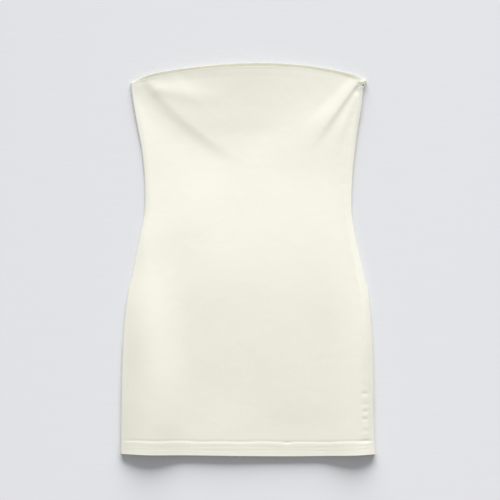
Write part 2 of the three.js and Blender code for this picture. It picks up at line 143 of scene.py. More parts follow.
def readColumn(rows, column, at):  # a smooth curve through one column of a table
    places = np.array([row[0] for row in rows], float)
    values = np.array([row[column] for row in rows], float)
    before = np.maximum(np.arange(len(rows)) - 1, 0)
    after = np.minimum(np.arange(len(rows)) + 1, len(rows) - 1)
    slopes = (values[after] - values[before]) / (places[after] - places[before])
    at = np.clip(at, places[0], places[-1])
    i = np.clip(np.searchsorted(places, at) - 1, 0, len(rows) - 2)
    span = places[i + 1] - places[i]
    t = (at - places[i]) / span
    rise = values[i + 1] - values[i]
    bend = (1 - t) * (slopes[i] * span - rise) - t * (slopes[i + 1] * span - rise)
    return values[i] + rise * t + t * (1 - t) * bend


def sectionsAt(ys):
    ys = np.asarray(ys, float)[:, None]
    section = {name: readColumn(sectionRows, i, ys) for i, name in enumerate(sectionNames) if i}
    section["y"] = ys
    section["share"] = (ys - cut["hemCorner"]) / (cut["neckCorner"] - cut["hemCorner"])
    return section


def bowedY(section, x, onBack):  # the rows bow with the hem below and with the top edge above
    share = np.clip((x - section["left"]) / (section["right"] - section["left"]), 0, 1)
    hemBow = readColumn(hemEdge, 1, share) - cut["hemCorner"]
    neckBow = readColumn(backTop if onBack else frontTop, 1, share) - cut["neckCorner"]
    return section["y"] + mix(hemBow, neckBow, section["share"])


# The distance to a bent line, positive at its left side, and the place on it from 0 to 1
def nearestOn(start, way, end, x, y, pieces=20):
    start, way, end = (np.array(p, float) for p in (start, way, end))
    t = np.linspace(0, 1, pieces + 1)[:, None]
    line = (1 - t) ** 2 * start + 2 * t * (1 - t) * way + t ** 2 * end
    best, place, side = np.full(x.shape, 1e9), np.zeros(x.shape), np.ones(x.shape)
    for k in range(pieces):
        step = line[k + 1] - line[k]
        dx, dy = x - line[k, 0], y - line[k, 1]
        along = np.clip((dx * step[0] + dy * step[1]) / (step @ step), 0, 1)
        away = np.hypot(dx - along * step[0], dy - along * step[1])
        nearer = away < best
        best = np.where(nearer, away, best)
        place = np.where(nearer, (k + along) / pieces, place)
        side = np.where(nearer, np.sign(step[0] * dy - step[1] * dx), side)
    return best * side, place


def foldsAt(x, y):
    total = np.zeros_like(x)
    for start, way, end, widths, height, fade in frontFolds.values():
        away, t = nearestOn(start, way, end, x, y)
        total += height * (1 - ease((t - fade) / (1 - fade))) * np.exp(-(away / mix(*widths, t)) ** 2)
    for start, way, end, side, rise, fall, heights, fade in frontWalls.values():
        away, t = nearestOn(start, way, end, x, y)
        above, width = side * away, mix(*rise, t)
        fallen = ease((above - width) / mix(*fall, t))
        risen = ease(np.clip(above / width, 0, 1) ** bust["steepening"]) - fallen
        total += mix(*heights, ease(t / 0.5)) * (1 - ease((t - fade) / (1 - fade))) * risen
    return total


def rippleAt(x, y):  # long, very shallow waves, so that no stretch is perfectly even
    rng = np.random.default_rng(calm["seed"])
    total = np.zeros_like(x)
    for _ in range(calm["waves"]):
        angle = rng.uniform(0, math.pi)
        length = rng.uniform(calm["shortest"], calm["longest"])
        phase = rng.uniform(0, 2 * math.pi)
        across = x * math.cos(angle) + y * math.sin(angle)
        total += np.sin(2 * math.pi * across / length + phase)
    return calm["height"] * total / math.sqrt(calm["waves"])


def puckersAt(y, fromSeam):
    rng = np.random.default_rng(seamPuckers["seed"])
    rows = list(hemPuckers)
    at = seamPuckers["from"]
    while at < seamPuckers["to"]:
        reach, width, height = (rng.uniform(*seamPuckers[k]) for k in ("reach", "width", "height"))
        rows.append((at, reach, width, height * rng.choice((-1, 1))))
        at += seamPuckers["spacing"] * rng.uniform(*seamPuckers["uneven"])
    total = np.zeros_like(y)
    for at, reach, width, height in rows:
        total += height * np.exp(-((y - at) / width) ** 2 - (fromSeam / reach) ** 2)
    return total


def crownHeight(distance, edge, crown, crownIn, middle, spread):
    rising = mix(edge, crown, np.sin(np.clip(distance / crownIn, 0, 1) * math.pi / 2))
    return np.where(distance < crownIn, rising, mix(crown, middle, ease((distance - crownIn) / spread)))


def hemTopAt(x):  # where the turned-up hem ends, a little uneven
    short, long = hemLine["wobbleWaves"]
    return cut["hemCorner"] + cut["hemDepth"] + hemLine["wobble"] * np.sin(x / short) * np.sin(x / long + 1)


def roundedShare(nearest):  # how far the fold at the side has opened to the full height
    t = np.clip(nearest / cut["foldWidth"], 0, 1)
    return np.sqrt(np.clip(1 - (1 - t) ** 2, 0, 1))


def upperSurface(section, x):  # the outer face of the layer that shows
    y = bowedY(section, x, False)
    s = section
    fromLeft, fromRight = x - s["left"], s["right"] - x
    nearest = np.minimum(fromLeft, fromRight)
    inField = ease(nearest / cut["foldsFadeIn"])
    lean = 1 - bust["leanShare"] * ease((x - bust["leanFrom"]) / (bust["leanTo"] - bust["leanFrom"]))
    lean = lean - bust["leftShare"] * ease((x - bust["leftFrom"]) / (bust["leftTo"] - bust["leftFrom"]))
    rising = ease((s["y"] - bust["leansAbove"]) / bust["setsInOver"])
    middle = mix(s["middle"], bust["levelAt"] + (s["middle"] - bust["levelAt"]) * lean, rising)
    z = crownHeight(fromLeft, s["leftEdge"], s["leftCrown"], s["leftIn"], middle, s["spread"])
    z = z + crownHeight(fromRight, s["rightEdge"], s["rightCrown"], s["rightIn"], middle, s["spread"])
    z = z - middle
    z = z + (foldsAt(x, y) + rippleAt(x, y)) * inField
    fromHem, hemTop = s["y"] - cut["hemCorner"], hemTopAt(x)
    base, swing = hemLine["uneven"]
    slow, quick = hemLine["unevenWaves"]
    uneven = base + swing * np.sin(x / slow + 2) * np.sin(x / quick)
    z = z + hemLine["ridge"] * ease((hemTop - s["y"]) / hemLine["ridgeWidth"]) * inField
    z = z - hemLine["depth"] * np.exp(-((s["y"] - hemTop) / hemLine["width"]) ** 2) * inField
    for k, (at, length) in enumerate(zip(hemLine["creaseAt"], hemLine["creaseWaves"])):
        away = fromHem - at - np.sin(x / length + 2 * k)
        z = z - hemLine["crease"] * uneven * np.exp(-(away / hemLine["creaseWidth"]) ** 2) * inField
    z = z + hemLine["rim"] * np.exp(-(fromHem / hemLine["rimWidth"]) ** 2) * inField
    lip = np.clip(1 - (cut["neckCorner"] - s["y"]) / frontLip["depth"], 0, 1)
    z = z + frontLip["height"] * lip ** 2 * inField
    fromSeam = np.abs(s["right"] - s["seamIn"] - x)
    z = z + puckersAt(y, fromSeam)
    z = z + seamGroove["shoulder"] * np.exp(-(fromSeam / seamGroove["shoulderWidth"]) ** 2)
    z = z - seamGroove["depth"] * np.exp(-(fromSeam / seamGroove["width"]) ** 2)
    z = np.maximum(cut["leastHeight"], z)
    edge = np.where(fromLeft < fromRight, s["leftEdge"], s["rightEdge"])
    return np.stack([x, y, mix(edge / 2, z, roundedShare(nearest))], -1)


def lowerSurface(section, x):  # the outer face of the layer that lies on the floor
    y = bowedY(section, x, True)
    s = section
    fromLeft, fromRight = x - s["left"], s["right"] - x
    nearest = np.minimum(fromLeft, fromRight)
    edge = np.where(fromLeft < fromRight, s["leftEdge"], s["rightEdge"])
    t = np.clip((s["y"] - cut["neckCorner"] + backCurl["depth"]) / backCurl["depth"], 0, 1)
    curl = ease(nearest / backCurl["fromSides"])
    z = backCurl["height"] * ease(t * backCurl["bend"]) / ease(backCurl["bend"]) * curl
    z = z + hemLine["depth"] * np.exp(-((s["y"] - hemTopAt(x)) / hemLine["width"]) ** 2)
    return np.stack([x, y, mix(edge / 2, z, roundedShare(nearest))], -1)


def spaced(bands):  # places along a line: (from, to, step) for each band, ends included
    places = []
    for start, end, step in bands:
        count = max(1, round((end - start) / step))
        places += [mix(start, end, i / count) for i in range(count)]
    return np.array(places + [bands[-1][1]])


# Where the panels' columns lie, as shares of each band
shares = {
    "edge": np.linspace(0, 1, 13) ** 2, "frontMiddle": np.linspace(0, 1, 118),
    "besideSeam": spaced([(0, 0.6, 0.06), (0.6, 0.9, 0.04), (0.9, 1, 0.02)]),
    "backStrip": spaced([(0, 0.2, 0.05), (0.2, 0.6, 0.08)]), "backStripLeft": 0.4,
    "backMiddle": np.linspace(0, 1, 70),
}


def frontGrid(section):
    left, seam = section["left"], section["right"] - section["seamIn"]
    edge = shares["edge"]
    under = lowerSurface(section, left + cut["leftSeamIn"] * edge[::-1][None, :-1])
    over = upperSurface(section, left + cut["edgeBand"] * edge[None, :-1])
    start, end = left + cut["edgeBand"], seam - cut["seamBand"]
    middle = upperSurface(section, mix(start, end, shares["frontMiddle"][None, :]))
    beside = upperSurface(section, mix(end, seam, shares["besideSeam"][None, 1:]))
    return np.concatenate([under, over, middle, beside], axis=1)


def backGrid(section):
    right, left = section["right"], section["left"]
    fromSlit = np.abs(section["y"] - cut["slitMiddle"]) / cut["slitHalf"]
    opening = cut["slitWidth"] * ease(cut["slitRound"] * (1 - fromSlit))
    reach = section["seamIn"] - cut["seamGap"] - opening
    edge = shares["edge"]
    beside = upperSurface(section, right - reach * (1 - shares["backStrip"])[None, :])
    over = upperSurface(section, right - reach * shares["backStripLeft"] * edge[::-1][None, 1:-1])
    under = lowerSurface(section, right - cut["edgeBand"] * edge[None, :-1])
    start, end = right - cut["edgeBand"], left + cut["leftSeamIn"] + cut["seamGap"]
    field = lowerSurface(section, mix(start, end, shares["backMiddle"][None, :]))
    return np.concatenate([beside, over, under, field], axis=1)


def normalsOf(grid):
    up = np.gradient(grid, axis=0)
    across = np.gradient(grid, axis=1)
    out = np.cross(across, up)
    return out / np.linalg.norm(out, axis=-1, keepdims=True)


def turnedEdge(grid, normals, deep):  # rows of outer and inner points round a turned edge and back inside
    thick, gap = cloth["thick"], cloth["turnGap"]
    radius = thick + gap / 2
    ahead = grid[0] - grid[1]
    ahead /= np.linalg.norm(ahead, axis=-1, keepdims=True)
    outer, inner = [], []
    for step in range(1, cloth["turnSteps"] + 1):
        angle = math.pi * step / (cloth["turnSteps"] + 1)
        for rows, r in ((outer, radius), (inner, gap / 2)):
            forward = r * cloth["turnFlat"] * math.sin(angle)
            rows.append(grid[0] + normals[0] * (r * math.cos(angle) - radius) + ahead * forward)
    for k in range(deep):
        outer.append(grid[k] - normals[k] * (2 * thick + gap))
        inner.append(grid[k] - normals[k] * (thick + gap))
    return np.array(outer), np.array(inner)


def closedSheet(name, outer, inner):  # two faces of points, in millimetres, joined round their rim
    rows, columns = outer.shape[:2]
    points = (np.concatenate([outer.reshape(-1, 3), inner.reshape(-1, 3)]) - centre) * mm
    index = np.arange(rows * columns).reshape(rows, columns)
    a, b, c, d = index[:-1, :-1], index[:-1, 1:], index[1:, 1:], index[1:, :-1]
    far = rows * columns
    faces = [np.stack([a, b, c, d], -1).reshape(-1, 4), np.stack([a, d, c, b], -1).reshape(-1, 4) + far]
    loop = np.concatenate([index[0], index[1:, -1], index[-1, -2::-1], index[-2:0:-1, 0]])
    after = np.roll(loop, -1)
    faces.append(np.stack([loop, loop + far, after + far, after], -1))
    mesh = bpy.data.meshes.new(name)
    mesh.from_pydata(points.tolist(), [], np.concatenate(faces).tolist())
    # the cloth's own lengths across and along, in metres, for its weave
    along = np.cumsum(np.linalg.norm(np.diff(outer, axis=0, prepend=outer[:1]), axis=-1), axis=0)
    across = np.cumsum(np.linalg.norm(np.diff(outer, axis=1, prepend=outer[:, :1]), axis=-1), axis=1)
    lengths = np.stack([across, along], -1).reshape(-1, 2) * mm
    lengths = np.concatenate([lengths, lengths])
    layer = mesh.uv_layers.new(name="cloth")
    corners = np.zeros(len(mesh.loops), int)
    mesh.loops.foreach_get("vertex_index", corners)
    layer.data.foreach_set("uv", lengths[corners].ravel())
    mesh.polygons.foreach_set("use_smooth", [True] * len(mesh.polygons))
    mesh.set_sharp_from_angle(angle=math.radians(cloth["sharpFrom"]))
    mesh.update()
    piece = bpy.data.objects.new(name, mesh)
    bpy.context.scene.collection.objects.link(piece)
    return piece


def panelMesh(name, grid, normals, hemRows, neckRows):
    hem = turnedEdge(grid, normals, hemRows)
    neck = turnedEdge(grid[::-1], normals[::-1], neckRows)
    outer = np.concatenate([hem[0][::-1], grid, neck[0]])
    inner = np.concatenate([hem[1][::-1], grid - normals * cloth["thick"], neck[1]])
    return closedSheet(name, outer, inner)


turnRadius = (cloth["thick"] + cloth["turnGap"] / 2) * cloth["turnFlat"]
hemFold, neckFold = cut["hemCorner"] + turnRadius, cut["neckCorner"] - turnRadius
narrow = cloth["narrowRow"]
rowPlaces = spaced([  # a narrow row beside each turned edge keeps its shading to itself
    (hemFold, hemFold + narrow, narrow), (hemFold + narrow, hemFold + 30, 1.2), (hemFold + 30, -215, 2.4),
    (-215, 130, 5.5), (130, 285, 3), (285, 307, 1.4), (307, neckFold - narrow, 0.7),
    (neckFold - narrow, neckFold, narrow),
])
hemRows = int(np.searchsorted(rowPlaces, hemFold + cloth["hemReturn"]))
neckRows = len(rowPlaces) - int(np.searchsorted(rowPlaces, neckFold - cloth["neckReturn"]))
section = sectionsAt(rowPlaces)
front, back = frontGrid(section), backGrid(section)
frontNormals, backNormals = normalsOf(front), normalsOf(back)
for frontSide, backSide in ((-1, 0), (0, -1)):  # at both seams the two panels get the same direction
    shared = frontNormals[:, frontSide] + backNormals[:, backSide]
    shared /= np.linalg.norm(shared, axis=-1, keepdims=True)
    frontNormals[:, frontSide], backNormals[:, backSide] = shared, shared
frontPanel = panelMesh("frontPanel", front, frontNormals, hemRows, neckRows)
backPanel = panelMesh("backPanel", back, backNormals, hemRows, neckRows)
print("panels made:", len(frontPanel.data.polygons), "and", len(backPanel.data.polygons), "faces")


beadFaces = {"Segments": 8, "Rings": 6, "Radius": 0.5}


# What repeats along a line: stitches, thread wraps, the teeth of the zip
def repeatTree():
    tree = bpy.data.node_groups.new("repeatAlong", "GeometryNodeTree")
    face = tree.interface
    face.new_socket("Geometry", in_out="INPUT", socket_type="NodeSocketGeometry")
    sizes = (("Pitch", 0.003), ("Length", 0.002), ("Width", 0.0004), ("Height", 0.0003), ("Sway", 0.0))
    for name, value in sizes:
        face.new_socket(name, in_out="INPUT", socket_type="NodeSocketFloat").default_value = value
    face.new_socket("Seed", in_out="INPUT", socket_type="NodeSocketInt").default_value = 3
    face.new_socket("Material", in_out="INPUT", socket_type="NodeSocketMaterial")
    face.new_socket("Geometry", in_out="OUTPUT", socket_type="NodeSocketGeometry")
    nodes, links = tree.nodes, tree.links
    ins, outs = nodes.new("NodeGroupInput"), nodes.new("NodeGroupOutput")
    curve = nodes.new("GeometryNodeMeshToCurve")
    even = nodes.new("GeometryNodeResampleCurve"); even.mode = "LENGTH"
    tangent = nodes.new("GeometryNodeInputTangent")
    up = nodes.new("GeometryNodeInputNamedAttribute"); up.data_type = "FLOAT_VECTOR"
    up.inputs["Name"].default_value = "up"
    along = nodes.new("FunctionNodeAlignRotationToVector"); along.axis = "X"
    upright = nodes.new("FunctionNodeAlignRotationToVector"); upright.axis, upright.pivot_axis = "Z", "X"
    bead = nodes.new("GeometryNodeMeshUVSphere")
    for name, value in beadFaces.items():
        bead.inputs[name].default_value = value
    size = nodes.new("ShaderNodeCombineXYZ")
    sway = nodes.new("FunctionNodeRandomValue"); sway.data_type = "FLOAT_VECTOR"
    lower = nodes.new("ShaderNodeMath"); lower.operation = "SUBTRACT"; lower.inputs[0].default_value = 1.0
    upper = nodes.new("ShaderNodeMath"); upper.operation = "ADD"; upper.inputs[0].default_value = 1.0
    scale = nodes.new("ShaderNodeVectorMath"); scale.operation = "MULTIPLY"
    place = nodes.new("GeometryNodeInstanceOnPoints")
    real = nodes.new("GeometryNodeRealizeInstances")
    smooth = nodes.new("GeometryNodeSetShadeSmooth")
    dress = nodes.new("GeometryNodeSetMaterial")
    links.new(ins.outputs["Geometry"], curve.inputs["Mesh"])
    links.new(curve.outputs["Curve"], even.inputs["Curve"])
    links.new(ins.outputs["Pitch"], even.inputs["Length"])
    links.new(even.outputs["Curve"], place.inputs["Points"])
    links.new(tangent.outputs[0], along.inputs["Vector"])
    links.new(along.outputs[0], upright.inputs["Rotation"])
    links.new(up.outputs["Attribute"], upright.inputs["Vector"])
    links.new(upright.outputs[0], place.inputs["Rotation"])
    links.new(bead.outputs["Mesh"], place.inputs["Instance"])
    for socket, name in zip(size.inputs, ("Length", "Width", "Height")):
        links.new(ins.outputs[name], socket)
    for node, low in ((lower, 0), (upper, 1)):
        links.new(ins.outputs["Sway"], node.inputs[1])
        links.new(node.outputs[0], sway.inputs[low])
    links.new(ins.outputs["Seed"], sway.inputs["Seed"])
    links.new(size.outputs[0], scale.inputs[0])
    links.new(sway.outputs[0], scale.inputs[1])
    links.new(scale.outputs[0], place.inputs["Scale"])
    links.new(place.outputs["Instances"], real.inputs["Geometry"])
    links.new(real.outputs[0], smooth.inputs["Geometry"])
    links.new(smooth.outputs[0], dress.inputs["Geometry"])
    links.new(ins.outputs["Material"], dress.inputs["Material"])
    links.new(dress.outputs[0], outs.inputs["Geometry"])
    return tree


repeatAlong = repeatTree()


def beadSizes(values):  # the tree's own inputs are written with a capital letter
    return {key: value for key, value in values.items() if key[0].isupper()}


def rowAlong(name, lines, sizes, material):  # lines: points in millimetres, and the way up at each
    points = [p for line, _ in lines for p in (np.asarray(line) - centre) * mm]
    ups = [u for _, up in lines for u in np.asarray(up)]
    edges, first = [], 0
    for line, _ in lines:
        edges += [(first + k, first + k + 1) for k in range(len(line) - 1)]
        first += len(line)
    mesh = bpy.data.meshes.new(name + "Line")
    mesh.from_pydata([tuple(p) for p in points], edges, [])
    wayUp = mesh.attributes.new("up", "FLOAT_VECTOR", "POINT")
    wayUp.data.foreach_set("vector", np.array(ups, float).ravel())
    guide = bpy.data.objects.new(name + "Line", mesh)
    bpy.context.scene.collection.objects.link(guide)
    modifier = guide.modifiers.new("repeat", "NODES")
    modifier.node_group = repeatAlong
    inputs = [item for item in repeatAlong.interface.items_tree if item.in_out == "INPUT"]
    named = {item.name: item.identifier for item in inputs}
    for key, value in {**beadSizes(sizes), "Material": material}.items():
        modifier[named[key]] = value
    shown = guide.evaluated_get(bpy.context.evaluated_depsgraph_get())
    made = bpy.data.meshes.new_from_object(shown)
    made.name = name
    guide.modifiers.remove(modifier)
    bpy.data.objects.remove(guide)
    piece = bpy.data.objects.new(name, made)
    bpy.context.scene.collection.objects.link(piece)
    return piece


# Materials
def newMaterial(name):
    material = bpy.data.materials.new(name)
    material.use_nodes = True
    return material, material.node_tree, material.node_tree.nodes["Principled BSDF"]


def newGroup(name, sockets, results):
    group = bpy.data.node_groups.new(name, "ShaderNodeTree")
    for label, kind, value in sockets:
        socket = group.interface.new_socket(label, in_out="INPUT", socket_type="NodeSocket" + kind)
        if value is not None:
            socket.default_value = value
    for label, kind in results:
        group.interface.new_socket(label, in_out="OUTPUT", socket_type="NodeSocket" + kind)
    return group, group.nodes.new("NodeGroupInput"), group.nodes.new("NodeGroupOutput")


weaveNoise = {"fine": (1.0, 1.0), "slubs": (0.05, 3.0)}  # scale, counted in threads, and detail
creaseNoise = {"crumple": (2.0, 0.4), "patch": (6.0, 2.0)}  # detail and roughness, scale and detail


def wovenThreadsGroup():  # long floats of thread, one beside the other
    group, ins, outs = newGroup(
        "wovenThreads",
        [("Vector", "Vector", None), ("Thread", "Float", 0.0005), ("Float length", "Float", 6.0)],
        [("Height", "Float"), ("Unevenness", "Float")])
    nodes, links = group.nodes, group.links
    split, join = nodes.new("ShaderNodeSeparateXYZ"), nodes.new("ShaderNodeCombineXYZ")
    across = nodes.new("ShaderNodeMath"); across.operation = "DIVIDE"
    along = nodes.new("ShaderNodeMath"); along.operation = "DIVIDE"
    longer = nodes.new("ShaderNodeMath"); longer.operation = "MULTIPLY"
    links.new(ins.outputs["Vector"], split.inputs[0])
    links.new(split.outputs["X"], across.inputs[0])
    links.new(ins.outputs["Thread"], across.inputs[1])
    links.new(ins.outputs["Thread"], longer.inputs[0])
    links.new(ins.outputs["Float length"], longer.inputs[1])
    links.new(split.outputs["Y"], along.inputs[0])
    links.new(longer.outputs[0], along.inputs[1])
    links.new(across.outputs[0], join.inputs["X"])
    links.new(along.outputs[0], join.inputs["Y"])
    fine, slubs = nodes.new("ShaderNodeTexNoise"), nodes.new("ShaderNodeTexNoise")
    for noise, (scale, detail) in ((fine, weaveNoise["fine"]), (slubs, weaveNoise["slubs"])):
        noise.inputs["Scale"].default_value, noise.inputs["Detail"].default_value = scale, detail
    links.new(join.outputs[0], fine.inputs["Vector"])
    links.new(join.outputs[0], slubs.inputs["Vector"])
    links.new(fine.outputs["Fac"], outs.inputs["Height"])
    links.new(slubs.outputs["Fac"], outs.inputs["Unevenness"])
    return group


def softCreasesGroup():  # the faint, slow crumple that worn or packed cloth keeps
    group, ins, outs = newGroup(
        "softCreases", [("Vector", "Vector", None), ("Size", "Float", 0.03), ("Bend", "Float", 0.8)],
        [("Height", "Float"), ("Patch", "Float")])
    nodes, links = group.nodes, group.links
    scale = nodes.new("ShaderNodeMath"); scale.operation = "DIVIDE"; scale.inputs[0].default_value = 1.0
    links.new(ins.outputs["Size"], scale.inputs[1])
    crumple, patch = nodes.new("ShaderNodeTexNoise"), nodes.new("ShaderNodeTexNoise")
    crumple.inputs["Detail"].default_value, crumple.inputs["Roughness"].default_value = creaseNoise["crumple"]
    patch.inputs["Scale"].default_value, patch.inputs["Detail"].default_value = creaseNoise["patch"]
    links.new(ins.outputs["Vector"], crumple.inputs["Vector"])
    links.new(ins.outputs["Vector"], patch.inputs["Vector"])
    links.new(scale.outputs[0], crumple.inputs["Scale"])
    links.new(ins.outputs["Bend"], crumple.inputs["Distortion"])
    links.new(crumple.outputs["Fac"], outs.inputs["Height"])
    links.new(patch.outputs["Fac"], outs.inputs["Patch"])
    return group


def shadedColorGroup():  # one colour, a little lighter and darker by two masks
    group, ins, outs = newGroup(
        "shadedColor", [("Color", "Color", None), ("Threads", "Float", 0.5), ("Patch", "Float", 0.5),
                        ("Thread shade", "Float", 0.03), ("Patch shade", "Float", 0.03)],
        [("Color", "Color")])
    nodes, links = group.nodes, group.links
    steps = []
    for mask, amount in (("Threads", "Thread shade"), ("Patch", "Patch shade")):
        middle, times = nodes.new("ShaderNodeMath"), nodes.new("ShaderNodeMath")
        middle.operation, times.operation = "SUBTRACT", "MULTIPLY"
        middle.inputs[1].default_value = 0.5
        links.new(ins.outputs[mask], middle.inputs[0])
        links.new(middle.outputs[0], times.inputs[0])
        links.new(ins.outputs[amount], times.inputs[1])
        steps.append(times)
    both, one = nodes.new("ShaderNodeMath"), nodes.new("ShaderNodeMath")
    one.inputs[1].default_value = 1.0
    links.new(steps[0].outputs[0], both.inputs[0])
    links.new(steps[1].outputs[0], both.inputs[1])
    links.new(both.outputs[0], one.inputs[0])
    tint = nodes.new("ShaderNodeVectorMath"); tint.operation = "SCALE"
    links.new(ins.outputs["Color"], tint.inputs[0])
    links.new(one.outputs[0], tint.inputs["Scale"])
    links.new(tint.outputs[0], outs.inputs["Color"])
    return group


wovenThreads, softCreases, shadedColor = wovenThreadsGroup(), softCreasesGroup(), shadedColorGroup()


def clothMaterial(name, look, onPiece=True):
    material, tree, surface = newMaterial(name)

    def group(kind):
        node = tree.nodes.new("ShaderNodeGroup")
        node.node_tree = kind
        return node

    place = tree.nodes.new("ShaderNodeUVMap" if onPiece else "ShaderNodeTexCoord")
    if onPiece:
        place.uv_map = "cloth"
    where = place.outputs["UV" if onPiece else "Object"]
    weave, creases, shade = group(wovenThreads), group(softCreases), group(shadedColor)
    for node in (weave, creases):
        tree.links.new(where, node.inputs["Vector"])
    weave.inputs["Thread"].default_value = look["thread"]
    weave.inputs["Float length"].default_value = look["floatLength"]
    creases.inputs["Size"].default_value = look["creaseSize"]
    shade.inputs["Color"].default_value = (*look["color"], 1)
    shade.inputs["Thread shade"].default_value, shade.inputs["Patch shade"].default_value = look["shade"]
    tree.links.new(weave.outputs["Unevenness"], shade.inputs["Threads"])
    tree.links.new(creases.outputs["Patch"], shade.inputs["Patch"])
    tree.links.new(shade.outputs["Color"], surface.inputs["Base Color"])
    rough = tree.nodes.new("ShaderNodeMapRange")
    rough.inputs["To Min"].default_value, rough.inputs["To Max"].default_value = look["rough"]
    tree.links.new(weave.outputs["Unevenness"], rough.inputs["Value"])
    tree.links.new(rough.outputs[0], surface.inputs["Roughness"])
    relief, crumple = tree.nodes.new("ShaderNodeBump"), tree.nodes.new("ShaderNodeBump")
    relief.inputs["Distance"].default_value = look["threadRelief"]
    crumple.inputs["Distance"].default_value = look["creaseRelief"]
    tree.links.new(weave.outputs["Height"], relief.inputs["Height"])
    tree.links.new(creases.outputs["Height"], crumple.inputs["Height"])
    tree.links.new(crumple.outputs[0], relief.inputs["Normal"])
    tree.links.new(relief.outputs[0], surface.inputs["Normal"])
    surface.inputs["Specular IOR Level"].default_value = look["specular"]
    surface.inputs["Sheen Weight"].default_value = look["sheen"]
    surface.inputs["Sheen Roughness"].default_value = look["sheenRough"]
    if onPiece and look["stretch"]:  # the gloss of satin runs along its floats
        tangent = tree.nodes.new("ShaderNodeTangent")
        tangent.direction_type, tangent.uv_map = "UV_MAP", "cloth"
        tree.links.new(tangent.outputs[0], surface.inputs["Tangent"])
        surface.inputs["Anisotropic"].default_value = look["stretch"]
        surface.inputs["Anisotropic Rotation"].default_value = look["turn"]
    return material


def metalMaterial(name, look):
    material, tree, surface = newMaterial(name)
    place, noise = tree.nodes.new("ShaderNodeTexCoord"), tree.nodes.new("ShaderNodeTexNoise")
    noise.inputs["Scale"].default_value = look["grain"]
    tree.links.new(place.outputs["Object"], noise.inputs["Vector"])
    shade = tree.nodes.new("ShaderNodeGroup")
    shade.node_tree = shadedColor
    shade.inputs["Color"].default_value = (*look["color"], 1)
    shade.inputs["Thread shade"].default_value, shade.inputs["Patch shade"].default_value = look["shade"], 0
    tree.links.new(noise.outputs["Fac"], shade.inputs["Threads"])
    tree.links.new(shade.outputs["Color"], surface.inputs["Base Color"])
    rough = tree.nodes.new("ShaderNodeMapRange")
    rough.inputs["To Min"].default_value, rough.inputs["To Max"].default_value = look["rough"]
    tree.links.new(noise.outputs["Fac"], rough.inputs["Value"])
    tree.links.new(rough.outputs[0], surface.inputs["Roughness"])
    surface.inputs["Metallic"].default_value = look["metallic"]
    return material


satinLook = {"thread": 0.0004, "floatLength": 7, "color": (0.835, 0.825, 0.717), "shade": (0.03, 0.03),
             "rough": (0.56, 0.68), "threadRelief": 0.000012, "creaseSize": 0.035, "creaseRelief": 0.0002,
             "specular": 1.0, "sheen": 0.05, "sheenRough": 0.4, "stretch": 0.85, "turn": 0.25}
tapeLook = {"thread": 0.0008, "floatLength": 2, "color": (0.74, 0.73, 0.63), "shade": (0.08, 0.04),
            "rough": (0.7, 0.85), "threadRelief": 0.00008, "creaseSize": 0.01, "creaseRelief": 0.00002,
            "specular": 0.3, "sheen": 0.1, "sheenRough": 0.4, "stretch": 0, "turn": 0}
threadLook = {**tapeLook, "thread": 0.00012, "color": (0.8, 0.79, 0.69), "creaseSize": 0.004}
# near-black: painted shade, standing in for the deep shade in the gap at the hook
paintedShadeLook = {**threadLook, "color": (0.02, 0.02, 0.017), "sheen": 0}
steelLook = {"grain": 900, "color": (0.035, 0.035, 0.031), "shade": 0.3, "rough": (0.4, 0.6), "metallic": 0.7}
sliderLook = {"grain": 500, "color": (0.72, 0.71, 0.62), "shade": 0.1, "rough": (0.35, 0.5), "metallic": 0.0}
satin, tape = clothMaterial("satin", satinLook), clothMaterial("zipTape", tapeLook)
thread = clothMaterial("sewingThread", threadLook, onPiece=False)
paintedShadeThread = clothMaterial("paintedShadeThread", paintedShadeLook, onPiece=False)
steel, lacquer = metalMaterial("dullSteel", steelLook), metalMaterial("lacqueredZip", sliderLook)


# The turned-up hem is stitched down 25 mm above its fold, but not round the sharp side folds
hemStitch = {"clear": 4, "above": 0.02, "Pitch": 0.0029, "Length": 0.0022, "Width": 0.00032,
             "Height": 0.00026, "Sway": 0.12, "Seed": 5}


def hemStitchLine(columnsX, under):
    line = []
    for x in columnsX:
        place = sectionsAt([hemTopAt(x)])
        surface = lowerSurface if under else upperSurface
        line.append(surface(place, np.array([[x]]))[0, 0])
    line = np.array(line)
    ups = np.cross(np.gradient(line, axis=0), (0, 1, 0))
    ups /= np.linalg.norm(ups, axis=1, keepdims=True)
    return line + ups * hemStitch["above"], ups


hemSection = sectionsAt([cut["hemCorner"] + cut["hemDepth"]])
hemLeft, hemRight = hemSection["left"][0, 0], hemSection["right"][0, 0]
halfUp = (hemSection["leftEdge"] + hemSection["rightEdge"])[0, 0] / 4
hemLines = []
for row in (frontGrid(hemSection)[0], backGrid(hemSection)[0]):
    row = [p for p in row if min(p[0] - hemLeft, hemRight - p[0]) > hemStitch["clear"]]
    for under in (True, False):
        hemLines.append(hemStitchLine([x for x, _, z in row if (z < halfUp) == under], under))
hemStitches = rowAlong("hemStitches", hemLines, hemStitch, thread)


# The zip under the seam: both tapes as one strip, the closed coil below it
zipSizes = {
    "from": -80, "to": 297, "step": 3, "outTo": 5.4, "halfway": 3.4, "coilHalf": 1.5, "tapeDepth": 1.95,
    "tapeThick": 0.4, "coilDepth": 2.75, "slopeOver": 0.6,
}
zipTeeth = {"Pitch": 0.00125, "Length": 0.00085, "Width": 0.0036, "Height": 0.0011, "Sway": 0.03, "Seed": 2}


def underSeam(ys, offset, depth):  # points below the outer face, beside the seam
    place = sectionsAt(ys)
    x = place["right"] - place["seamIn"] + offset
    around = [upperSurface(place, x + side * zipSizes["slopeOver"])[:, 0] for side in (-1, 0, 1)]
    normal = np.cross(around[2] - around[0], np.gradient(around[1], axis=0))
    normal /= np.linalg.norm(normal, axis=1, keepdims=True)
    return around[1] - normal * depth, normal


